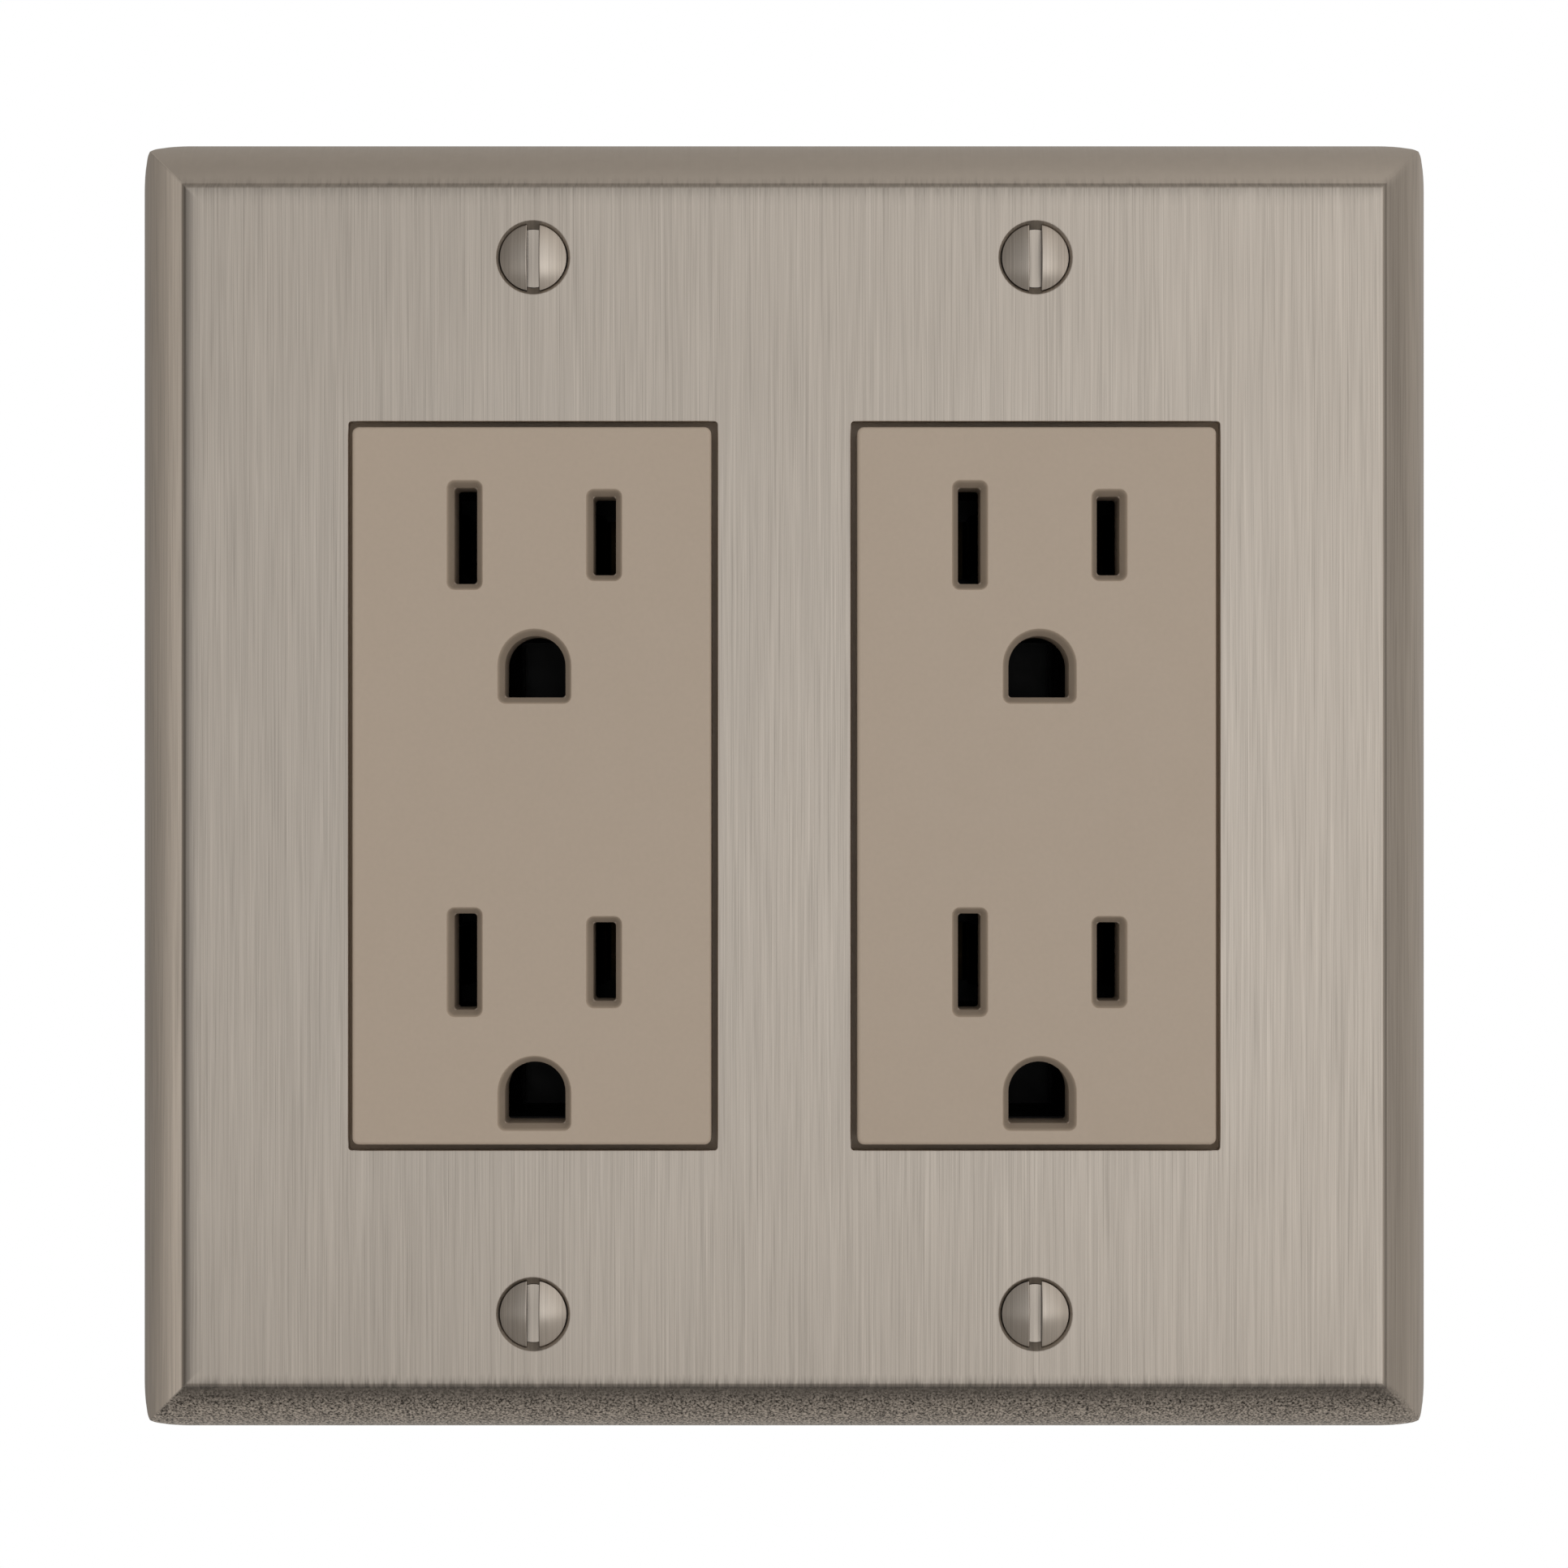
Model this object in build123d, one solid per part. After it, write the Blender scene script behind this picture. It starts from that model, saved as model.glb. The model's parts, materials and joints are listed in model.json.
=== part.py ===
from build123d import *
from math import atan2, cos, degrees, radians, sin, tan
import os

# A two-gang decorator wall plate of pressed metal, over the two duplex receptacles that it covers.
# Sizes are in millimetres and angles in degrees. +Z is up, +X is to the right of a person who faces
# the plate, and -Y points out of the wall at them. The wall surface is the plane Y = 0.
# A "height" is a distance out of the wall (Y = -height), so what is inside the wall has a negative one.
# The origin is on the wall surface, in the middle of the four screws that go into the wall box.

# Spacings that the fittings have by standard
gang_pitch = 46.04  # between the centre lines of the two receptacles
plate_screw_span = 96.84  # between a receptacle's upper and lower wall plate screws
box_screw_span = 83.34  # between a receptacle's upper and lower box screws
blade_pitch = 12.7  # between the two blade slots of a socket
ground_drop = 11.9  # from the blades' centre line down to the ground pin
socket_pitch = 38.92  # between the two sockets of a receptacle
upper_socket_z = 22.85  # blades' centre line of the upper socket
socket_shift = 0.25  # sideways, of all the openings from the face's centre line

# Wall plate
plate_width = 119.0
plate_tall = 119.0
plate_height = 6.0  # of the flat panel's front above the wall
sheet = 1.0  # thickness of the pressed metal
panel_margin = 4.6  # from the plate's outer edge in to the flat panel
panel_step = 0.55  # drop from the panel to the start of the bevel
panel_step_run = 0.38
panel_edge_round = 0.28
bevel_start_slope = 20.0
bevel_end_slope = 73.0
corner_ease = 4.4  # length over which the sides curve in before each corner
corner_inset = 0.45
corner_tip = 1.4
window_side_gap = 0.52  # between a window and the face in it
window_end_gap = 0.65
window_corner = 0.3
window_edge_round = 0.12

# Screws: all are the same small machine thread
thread_radius = 1.75
thread_pitch = 0.794
thread_depth = 0.4
thread_clearance = 0.04  # radial, between a screw and the hole that it is in
through_clearance = 0.3  # radial, where a screw passes freely

# Oval head screws of the wall plate
oval_head_radius = 3.05
oval_cone_angle = 41.0  # half of the head's included angle
oval_land = 0.1
oval_crown = 0.75
oval_slot_width = 1.1
oval_slot_depth = 1.3
oval_slot_edge = 0.08  # rounding of the slot's edges
oval_screw_length = 12.0  # below the head's widest part
dimple_mouth_radius = 3.4
dimple_edge_round = 0.12
dimple_below_hole = 0.5  # length of the straight hole under the cone
seat_gap = 0.05  # between a screw head and what it bears on

# Pan head screws into the wall box
pan_head_radius = 3.5
pan_head_height = 1.9
pan_slot_width = 1.1
pan_slot_depth = 0.9
box_screw_length = 25.4
box_screw_neck_spare = 0.12  # how far the unthreaded neck reaches past the strap and its retainer
box_slot_length = 7.2

# Receptacle face
face_width = 32.7
face_tall = 65.4
face_proud = 1.8  # how far its front stands out of the plate's panel
face_corner = 0.6
face_edge_round = 0.32
face_wall = 1.8
foot_reach = 1.3  # how far the face's foot, behind the plate, is wider than its front
foot_height = 2.2
foot_corner = 0.5
face_front = 3.0
slot_width = 2.08
neutral_slot_tall = 8.8
hot_slot_tall = 7.2
slot_corner = 0.3
pin_hole_radius = 2.77
pin_hole_foot = 2.87  # from the pin's centre down to the flat side of its hole
pin_hole_corner = 0.3
mouth_run = 0.6  # of the sloping mouth of each opening, and its depth
mouth_depth = 1.3
mouth_round = 0.12
chimney_wall = 0.9
chimney_low = 1.9  # height at which the walls round the openings end
boss_x = 12.6
boss_z = 30.6
boss_radius = 2.4

# Mounting strap
strap_sheet = 1.2
strap_end_width = 32.8
strap_end_inner = 35.2  # Z at which the wide end plates begin
strap_end_outer = 53.2
strap_end_corner = 3.0
strap_bar_width = 7.8
strap_notch_radius = 1.8
strap_notch_z = 48.4
strap_pad_width = 14.2
strap_pad_tall = 10.0
pin_way_grow = 0.35  # of the ground pin's hole through the strap, past the one in the face
ear_slit_width = 0.8
ear_slit_length = 3.4
ground_tab_width = 9.6
ground_tab_depth = 11.0
ground_terminal_z = -41.0

# Back body
body_width = 32.6
body_tall = 68.0
body_depth = 22.0
body_corner = 2.5
body_rear_edge = 1.6
contact_floor = -14.2  # height on which the contacts rest
cell_inner_x = 4.2
cell_outer_x = 8.6
cell_tall = 9.8
pocket_tall = 10.2
pocket_low = -15.6
pocket_high = -3.2
strip_gauge_width = 3.2  # the groove in the back that shows how much wire to strip
strip_gauge_tall = 16.0
strip_gauge_depth = 0.8
wire_hole_radius = 1.35
wire_hole_spread = 3.1
retainer_size = 9.0
retainer_sheet = 0.3

# Contacts
brass_sheet = 0.8
leaf_sheet = 0.5
leaf_gap = 1.4
leaf_width = 5.6
leaf_top = -3.2
leaf_flare = 0.6
leaf_flare_length = 3.2
leaf_bend = 0.6
rail_x = 11.2  # inner side of the rail that joins the upper and lower contacts
rail_high = -7.0
rail_end_reach = 3.0
terminal_offset = 10.86  # in Z, from a socket's blades to its wire terminal, towards the other socket
terminal_height = -9.4
terminal_plate_tall = 9.2
terminal_plate_depth = 9.2
tab_neck_tall = 3.4
tab_neck_depth = 2.0
tab_fin = 2.2
ground_flange = 0.6
ground_leaf_x = 2.2
ground_leaf_width = 5.0
pin_room_depth = 15.0
ground_leaf_length = 12.0
ground_leaf_lead = 7.0  # depth at which the leaves have come together
rivet_radius = 0.95
rivet_head_radius = 1.5
rivet_head = 0.5
rivet_x = 5.3

# Wire clamps and terminal screws
clamp_size = 8.8
clamp_sheet = 1.1
clamp_rib = 0.35
terminal_head_radius = 3.7
terminal_head_height = 2.2
terminal_slot_width = 1.1
terminal_slot_depth = 1.0
terminal_screw_length = 4.2
terminal_head_turns = {"hot_upper": 20, "hot_lower": -35, "neutral_upper": 65, "neutral_lower": 5, "ground": -60}

# Screws that hold a face to its back body
joining_radius = 1.15
joining_head_radius = 2.2
joining_head_height = 1.3
joining_seat = 2.4  # depth of the head's recess in the back body
joining_reach = 4.2  # height that the tips reach
joining_clearance = 0.08

# Fits
slip = 0.1  # between a piece and the recess that it lies in

# What follows from the sizes above
window_width = face_width + 2 * window_side_gap
window_tall = face_tall + 2 * window_end_gap
face_height = plate_height + face_proud
dimple_hole_radius = thread_radius + through_clearance
lower_socket_z = upper_socket_z - socket_pitch
socket_zs = (upper_socket_z, lower_socket_z)
terminal_zs = {"upper": upper_socket_z - terminal_offset, "lower": lower_socket_z + terminal_offset}
tab_z = (upper_socket_z + lower_socket_z) / 2
rail_outer_x = rail_x + brass_sheet
sides = {"hot": 1, "neutral": -1}
slot_talls = {"hot": hot_slot_tall, "neutral": neutral_slot_tall}
gangs = {"left": -gang_pitch / 2, "right": gang_pitch / 2}


# ---- shared helpers ----

def slab(sketch, low, high):
    """Extrudes a sketch, drawn with X across and Z up, from one height to another."""
    return extrude(Plane.XZ.offset(low) * sketch, amount=high - low)


def block(x, z, width, tall, low, high):
    return slab(Pos(x, z) * Rectangle(width, tall), low, high)


def rod(x, z, radius, low, high):
    return slab(Pos(x, z) * Circle(radius), low, high)


def between(x0, x1, z0, z1, low, high):
    """A block given by its two X, its two Z and its two heights."""
    return block((x0 + x1) / 2, (z0 + z1) / 2, abs(x1 - x0), abs(z1 - z0), low, high)


def tapered_rod(x, z, low_radius, high_radius, low, high):
    frustum = Cone(low_radius, high_radius, high - low)
    return Plane.XZ.offset((low + high) / 2) * (Pos(x, z) * frustum)


def side_rod(height, z, radius, x0, x1):
    """A round bar along X."""
    plane = Plane(origin=(x0, -height, z), x_dir=(0, 0, 1), z_dir=(1 if x1 > x0 else -1, 0, 0))
    return extrude(plane * Circle(radius), amount=abs(x1 - x0))


def turned(points):
    """A solid of revolution about Z, from the corners (radius, z) of its half section."""
    return revolve(Plane.XZ * make_face(Polyline(*points, close=True)), Axis.Z)


def edges_at_height(part, height):
    return part.edges().filter_by(lambda e: abs(e.bounding_box().max.Y + height) < 1e-4
                                  and abs(e.bounding_box().min.Y + height) < 1e-4)


# ---- screws, each standing on the local plane Z = 0 with its head above ----

def shank(length, neck=0):
    """A threaded shank that hangs from Z = 0, with one groove for each turn and a pointed-off tip.
    A neck is the length under the head that has no thread."""
    flat = thread_pitch / 6
    flank = thread_pitch / 3
    root = thread_radius - thread_depth
    turns = int((length - neck - 2 * thread_depth) / thread_pitch)
    points = [(0, -length), (root - thread_depth, -length), (root, -length + thread_depth)]
    for turn in reversed(range(turns)):
        z = -neck - turn * thread_pitch
        points += [(root, z - 2 * flat - flank), (root, z - flat - flank)]
        points += [(thread_radius, z - flat), (thread_radius, z)]
    if neck:
        points += [(root, -neck + flank / 2), (root, 0)]
    return turned(points + [(0, 0)])


def slotted(head, top, radius, width, depth):
    return head - Pos(0, 0, top) * Box(width, 3 * radius, 2 * depth)


def oval_screw():
    """A countersunk screw with a domed head. Z = 0 is the head's widest part."""
    cone_depth = (oval_head_radius - thread_radius) / tan(radians(oval_cone_angle))
    edge = Line((0, -cone_depth), (thread_radius, -cone_depth))
    edge += Line(edge @ 1, (oval_head_radius, 0))
    edge += Line(edge @ 1, (oval_head_radius, oval_land))
    dome = ThreePointArc(
        (oval_head_radius, oval_land),
        (oval_head_radius / 2, oval_land + oval_crown * 0.76),
        (0, oval_land + oval_crown),
    )
    section = make_face(edge + dome + Line(dome @ 1, (0, -cone_depth)))
    head = revolve(Plane.XZ * section, Axis.Z)
    head = slotted(head, oval_land + oval_crown, oval_head_radius, oval_slot_width, oval_slot_depth)
    slot_edges = head.edges().filter_by(lambda e: abs(abs(e.center().X) - oval_slot_width / 2) < 0.01
                                        and e.center().Z > oval_land and e.length > oval_head_radius)
    head = fillet(slot_edges, oval_slot_edge)
    return head + Pos(0, 0, -cone_depth) * shank(oval_screw_length - cone_depth)


def pan_screw(radius, height, slot_width, slot_depth, length, neck=0):
    """A screw with a flat-bottomed head, rounded at its top. Z = 0 is the underside of the head."""
    head = Cylinder(radius, height, align=(Align.CENTER, Align.CENTER, Align.MIN))
    head = fillet(head.edges().sort_by(Axis.Z)[-1], height * 0.45)
    head = slotted(head, height, radius, slot_width, slot_depth)
    return head + shank(length, neck)


# ---- wall plate ----

def cover_section(half, inset):
    """The plate's cross section between its two outer edges, drawn with the height up.
    With an inset it is the section of the hollow behind the sheet."""
    bevel_width = panel_margin - panel_step_run
    radius = bevel_width / (sin(radians(bevel_end_slope)) - sin(radians(bevel_start_slope)))
    centre_u = half - radius * sin(radians(bevel_end_slope))
    centre_h = plate_height - panel_step - radius * cos(radians(bevel_start_slope))

    def on_bevel(slope):
        return (centre_u + (radius - inset) * sin(radians(slope)),
                centre_h + (radius - inset) * cos(radians(slope)))

    start = on_bevel(bevel_start_slope)
    middle = on_bevel((bevel_start_slope + bevel_end_slope) / 2)
    end = on_bevel(bevel_end_slope)
    base = -sheet if inset else 0
    top = plate_height - inset
    outline = Polyline((0, top), (start[0] - panel_step_run, top), start)
    outline += ThreePointArc(start, middle, end)
    outline += Polyline(end, (end[0], base), (0, base))
    outline += mirror(outline, about=Plane.YZ)
    return make_face(outline)


def cover_block(inset):
    """Both cross sections swept across the plate and crossed, which mitres the bevels at the corners."""
    across = Plane(origin=(0, 0, 0), x_dir=(1, 0, 0), z_dir=(0, 0, -1))
    upright = Plane(origin=(0, 0, 0), x_dir=(0, 0, 1), z_dir=(1, 0, 0))
    reach = max(plate_width, plate_tall)
    wide = extrude(across * cover_section(plate_width / 2, inset), amount=reach, both=True)
    high = extrude(upright * cover_section(plate_tall / 2, inset), amount=reach, both=True)
    return wide & high


def eased_outline(half_width, half_tall):
    """A rectangle whose sides curve in a little before each small round corner."""
    side_end = (half_width, half_tall - corner_ease)
    tip_start = (half_width - corner_inset, half_tall - corner_tip)
    tip_end = (half_width - corner_tip, half_tall - corner_inset)
    top_end = (half_width - corner_ease, half_tall)
    rising = TangentArc(side_end, tip_start, tangent=(0, 1))
    tip = TangentArc(tip_start, tip_end, tangent=rising % 1)
    falling = TangentArc(tip_end, top_end, tangent=tip % 1)
    quarter = Line((half_width, 0), side_end) + rising + tip + falling + Line(top_end, (0, half_tall))
    half = quarter + mirror(quarter, about=Plane.YZ)
    return make_face(half + mirror(half, about=Plane.XZ))


def plate_screw_points():
    return [(x, z) for x in gangs.values() for z in (plate_screw_span / 2, -plate_screw_span / 2)]


def dimple_radius_at(height):
    """Radius of the front of a screw dimple's cone."""
    return dimple_mouth_radius - (plate_height - height) * tan(radians(oval_cone_angle))


def dimple_foot():
    """Height at which a dimple's cone has narrowed to its hole."""
    return plate_height - (dimple_mouth_radius - dimple_hole_radius) / tan(radians(oval_cone_angle))


def wall_plate():
    plate = cover_block(0) & slab(eased_outline(plate_width / 2, plate_tall / 2), 0, plate_height)
    plate -= cover_block(sheet)
    window = RectangleRounded(window_width, window_tall, window_corner)
    for x in gangs.values():
        plate -= slab(Pos(x, 0) * window, 0, plate_height + 1)
    back_offset = sheet / cos(radians(oval_cone_angle))
    foot = dimple_foot()
    end = foot - dimple_below_hole
    for x, z in plate_screw_points():
        plate += tapered_rod(x, z, dimple_radius_at(end) + back_offset,
                             dimple_radius_at(plate_height - sheet / 2) + back_offset, end, plate_height - sheet / 2)
        plate -= tapered_rod(x, z, dimple_hole_radius, dimple_mouth_radius, foot, plate_height)
        plate -= rod(x, z, dimple_hole_radius, end - 1, plate_height)
    front = edges_at_height(plate, plate_height)
    rings = front.filter_by(GeomType.CIRCLE).filter_by(lambda e: e.radius > dimple_mouth_radius - 0.01)
    plate = fillet(rings, dimple_edge_round)
    return soften_panel(plate)


def soften_panel(plate):
    """Rounds the panel's rim and the edges of the windows."""
    half_panel = plate_width / 2 - panel_margin
    front = edges_at_height(plate, plate_height)
    rim = front.filter_by(lambda e: e.length > 2 * half_panel - 2)
    plate = fillet(rim, panel_edge_round)
    front = edges_at_height(plate, plate_height)
    frames = front.filter_by(lambda e: abs(e.center().X) < gang_pitch / 2 + window_width / 2 + 0.1
                             and abs(e.center().Z) < window_tall / 2 + 0.1 and e.length < window_tall)
    return fillet(frames, window_edge_round)


def plate_screw(x, z):
    seat = plate_height - (dimple_mouth_radius - oval_head_radius) / tan(radians(oval_cone_angle))
    seat += seat_gap / sin(radians(oval_cone_angle))
    return Plane.XZ.offset(seat) * (Pos(x, z) * oval_screw())


# ---- one receptacle, about its own centre line ----

def blade_x(side):
    return socket_shift + side * blade_pitch / 2


def slot_outline(tall, grow):
    return RectangleRounded(slot_width + 2 * grow, tall + 2 * grow, slot_corner + grow * 0.7)


def pin_outline(grow):
    """The ground pin's opening: a half circle over a flat foot, with small corners."""
    radius = pin_hole_radius + grow
    foot = pin_hole_foot + grow
    shape = Circle(radius) + Pos(0, -foot / 2) * Rectangle(2 * radius, foot)
    shape -= Pos(0, -foot - radius / 2) * Rectangle(2 * radius, radius)
    corners = shape.vertices().filter_by(lambda v: v.Y < -foot + 0.01)
    return fillet(corners, pin_hole_corner + grow * 0.7)


def opening_outlines(grow):
    """All six openings of a face, each grown by the same amount, with their places."""
    placed = []
    for socket_z in socket_zs:
        for name, side in sides.items():
            placed.append(Pos(blade_x(side), socket_z) * slot_outline(slot_talls[name], grow))
        placed.append(Pos(socket_shift, socket_z - ground_drop) * pin_outline(grow))
    return placed


def joining_points():
    return [(x, z) for x in (-boss_x, boss_x) for z in (-boss_z, boss_z)]


def receptacle_face():
    face = slab(RectangleRounded(face_width, face_tall, face_corner), 0, face_height)
    face = fillet(edges_at_height(face, face_height), face_edge_round)
    foot = RectangleRounded(face_width + 2 * foot_reach, face_tall + 2 * foot_reach, foot_corner)
    face += slab(foot, 0, foot_height)
    inner_top = face_height - face_front
    hollow = block(0, 0, face_width - 2 * face_wall, face_tall - 2 * face_wall, 0, inner_top)
    for outline in opening_outlines(chimney_wall):
        hollow -= slab(outline, chimney_low, inner_top)
    for x, z in joining_points():
        hollow -= rod(x, z, boss_radius, 0, inner_top)
    face -= hollow
    for z in (-face_tall / 2, face_tall / 2):
        face -= block(socket_shift, z, strap_pad_width + 2 * slip, 4 * face_wall, 0, strap_sheet + slip)
    for outline in opening_outlines(0):
        face -= slab(outline, 0, face_height)
    mouth_taper = degrees(atan2(mouth_run, mouth_depth))
    for outline in opening_outlines(mouth_run):
        face -= extrude(Plane.XZ.offset(face_height) * outline, amount=-mouth_depth, taper=mouth_taper)
    for x, z in joining_points():
        face -= rod(x, z, joining_radius + joining_clearance, 0, joining_reach)
    mouths = edges_at_height(face, face_height).filter_by(
        lambda e: abs(e.center().X) < face_width / 2 - 2 and abs(e.center().Z) < face_tall / 2 - 1)
    return fillet(mouths, mouth_round)


def mounting_strap():
    end_tall = strap_end_outer - strap_end_inner
    end_z = (strap_end_outer + strap_end_inner) / 2
    outline = Rectangle(strap_bar_width, 2 * strap_end_inner)
    end_plate = RectangleRounded(strap_end_width, end_tall, strap_end_corner)
    slit = SlotOverall(ear_slit_length, ear_slit_width)
    for up in (-1, 1):
        outline += Pos(0, up * end_z) * end_plate
        for side in (-1, 1):
            outline -= Pos(side * strap_end_width / 2, up * strap_notch_z) * Circle(strap_notch_radius)
            ear = Pos(side * strap_end_width * 0.32, up * (strap_end_outer - 3.2)) * Rot(0, 0, -side * up * 45)
            outline -= ear * slit
        outline -= Pos(0, up * box_screw_span / 2) * SlotOverall(box_slot_length, 2 * (thread_radius + through_clearance))
        outline -= Pos(0, up * plate_screw_span / 2) * Circle(thread_radius + thread_clearance)
    for socket_z in socket_zs:
        pad = RectangleRounded(strap_pad_width, strap_pad_tall, 1.2)
        outline += Pos(socket_shift, socket_z - ground_drop) * pad
    for socket_z in socket_zs:
        pin_z = socket_z - ground_drop
        outline -= Pos(socket_shift, pin_z) * pin_outline(pin_way_grow)
        for side in (-1, 1):
            outline -= Pos(socket_shift + side * rivet_x, pin_z) * Circle(rivet_radius + thread_clearance)
    strap = slab(outline, 0, strap_sheet)
    return strap + ground_tab()


def ground_tab():
    """The part of the strap that is bent back into the wall, and tapped for the ground screw."""
    outer = -strap_end_width / 2
    inner = outer + strap_sheet
    tab = between(outer, inner, ground_terminal_z - ground_tab_width / 2, ground_terminal_z + ground_tab_width / 2,
                  -ground_tab_depth, strap_sheet)
    rear = tab.edges().filter_by(Axis.X).filter_by(lambda e: e.center().Y > ground_tab_depth - 0.1)
    tab = fillet(rear, 2)
    return tab - side_rod(ground_terminal_height(), ground_terminal_z, thread_radius + thread_clearance,
                          outer - 1, inner + 1)


def ground_terminal_height():
    return -ground_tab_depth / 2 - 0.4


def contact_clip(socket_z):
    """Two spring leaves joined at the back, which grip one blade of a plug. Drawn on the hot side."""
    centre = blade_pitch / 2
    half = (leaf_gap + leaf_sheet) / 2
    floor = contact_floor + leaf_sheet / 2
    neck = leaf_top - leaf_flare_length
    path = FilletPolyline(
        (centre - half - leaf_flare, leaf_top), (centre - half, neck), (centre - half, floor),
        (centre + half, floor), (centre + half, neck), (centre + half + leaf_flare, leaf_top),
        radius=leaf_bend)
    section = trace(path, leaf_sheet)
    plane = Plane(origin=(0, 0, socket_z + leaf_width / 2), x_dir=(1, 0, 0), z_dir=(0, 0, -1))
    return extrude(plane * section, amount=leaf_width)


def contact_bus():
    """One piece of pressed brass on the hot side: two clips, their wire terminals and the tab between."""
    low = lower_socket_z - rail_end_reach
    high = upper_socket_z + rail_end_reach
    bus = between(rail_x, rail_outer_x, low, high, contact_floor, rail_high)
    for socket_z in socket_zs:
        bus += contact_clip(socket_z)
        bus += between(blade_pitch / 2, rail_outer_x, socket_z - leaf_width / 2 + 0.4,
                       socket_z + leaf_width / 2 - 0.4, contact_floor, contact_floor + leaf_sheet)
    for z in terminal_zs.values():
        bus += block((rail_x + rail_outer_x) / 2, z, brass_sheet, terminal_plate_tall,
                     terminal_height - terminal_plate_depth / 2, terminal_height + terminal_plate_depth / 2)
        bus -= side_rod(terminal_height, z, thread_radius + thread_clearance, rail_x - 1, rail_outer_x + 1)
    neck_low = terminal_height - tab_neck_depth / 2
    neck_high = terminal_height + tab_neck_depth / 2
    bus -= between(rail_x, rail_outer_x, tab_z - tab_neck_tall / 2, tab_z + tab_neck_tall / 2,
                   contact_floor, neck_low)
    bus -= between(rail_x, rail_outer_x, tab_z - tab_neck_tall / 2, tab_z + tab_neck_tall / 2,
                   neck_high, rail_high)
    return bus + between(rail_x, rail_outer_x + tab_fin, tab_z - tab_neck_tall / 2 + slip,
                         tab_z + tab_neck_tall / 2 - slip, neck_high - brass_sheet, neck_high)


def contacts_for(side):
    bus = contact_bus()
    if side < 0:
        bus = mirror(bus, about=Plane.YZ)
    return Pos(socket_shift, 0, 0) * bus


def ground_leaf_top():
    """Distance from the pin's centre line to the middle of a leaf where it leaves the flange."""
    return pin_hole_radius + pin_way_grow + leaf_sheet / 2 + slip


def ground_leaf(side, pin_z):
    """A spring leaf that leads in from the flange and then runs straight back."""
    near = ground_leaf_x + leaf_sheet / 2
    path = FilletPolyline(
        (socket_shift + side * ground_leaf_top(), -ground_flange / 2),
        (socket_shift + side * near, -ground_leaf_lead),
        (socket_shift + side * near, -ground_leaf_length),
        radius=leaf_bend)
    plane = Plane(origin=(0, 0, pin_z + ground_leaf_width / 2), x_dir=(1, 0, 0), z_dir=(0, 0, -1))
    return extrude(plane * trace(path, leaf_sheet), amount=ground_leaf_width)


def ground_contact(pin_z):
    """A flange under the strap, with two leaves that grip the ground pin."""
    flange = slab(Pos(socket_shift, pin_z) * RectangleRounded(strap_pad_width, strap_pad_tall, 1.2),
                  -ground_flange, 0)
    flange -= slab(Pos(socket_shift, pin_z) * pin_outline(pin_way_grow), -ground_flange, 0)
    for side in (-1, 1):
        flange += ground_leaf(side, pin_z)
        flange -= rod(socket_shift + side * rivet_x, pin_z, rivet_radius + thread_clearance, -ground_flange, 0)
    return flange


def ground_contacts():
    return Compound(children=[ground_contact(z - ground_drop) for z in socket_zs])


def ground_rivets():
    rivets = []
    for socket_z in socket_zs:
        for side in (-1, 1):
            x = socket_shift + side * rivet_x
            z = socket_z - ground_drop
            rivet = rod(x, z, rivet_radius, -ground_flange, strap_sheet)
            rivet += rod(x, z, rivet_head_radius, strap_sheet, strap_sheet + rivet_head)
            rivet += rod(x, z, rivet_head_radius, -ground_flange - rivet_head, -ground_flange)
            rivets.append(rivet)
    return Compound(children=rivets)


def back_body():
    body = slab(RectangleRounded(body_width, body_tall, body_corner), -body_depth, 0)
    body = chamfer(edges_at_height(body, -body_depth), body_rear_edge)
    for name, side in sides.items():
        body -= contact_room(side)
        body -= terminal_room(side)
    for socket_z in socket_zs:
        pin_z = socket_z - ground_drop
        body -= block(socket_shift, pin_z, strap_pad_width + 2 * slip, strap_pad_tall + 2 * slip,
                      -ground_flange - rivet_head - slip, 0)
        body -= block(socket_shift, pin_z, 2 * ground_leaf_top() + leaf_sheet + 4 * slip,
                      ground_leaf_width + 1.0, -pin_room_depth, 0)
    for x, z in joining_points():
        body -= rod(x, z, joining_radius + joining_clearance, -body_depth, 0)
        body -= rod(x, z, joining_head_radius + slip, -body_depth, -body_depth + joining_seat)
    for up in (-1, 1):
        body -= block(0, up * body_tall / 2, body_width * 0.5, 2.4, -body_depth, -body_depth * 0.35)
    gauge = RectangleRounded(strip_gauge_width, strip_gauge_tall, strip_gauge_width / 4)
    return body - slab(gauge, -body_depth, -body_depth + strip_gauge_depth)


def contact_room(side):
    """The cells of the clips, the channel of the rail, and the ways between them, all open to the front."""
    centre = socket_shift
    low = lower_socket_z - rail_end_reach - slip
    high = upper_socket_z + rail_end_reach + slip
    room = between(centre + side * (rail_x - slip), centre + side * (rail_outer_x + slip), low, high,
                   contact_floor, 0)
    for socket_z in socket_zs:
        room += between(centre + side * cell_inner_x, centre + side * cell_outer_x,
                        socket_z - cell_tall / 2, socket_z + cell_tall / 2, contact_floor, 0)
        room += between(centre + side * (cell_outer_x - 1), centre + side * rail_outer_x,
                        socket_z - leaf_width / 2, socket_z + leaf_width / 2, contact_floor, 0)
    for z in terminal_zs.values():
        room += side_rod(terminal_height, z, thread_radius + through_clearance,
                         centre + side * (cell_outer_x + 0.2), centre + side * rail_outer_x)
    return room


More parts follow.
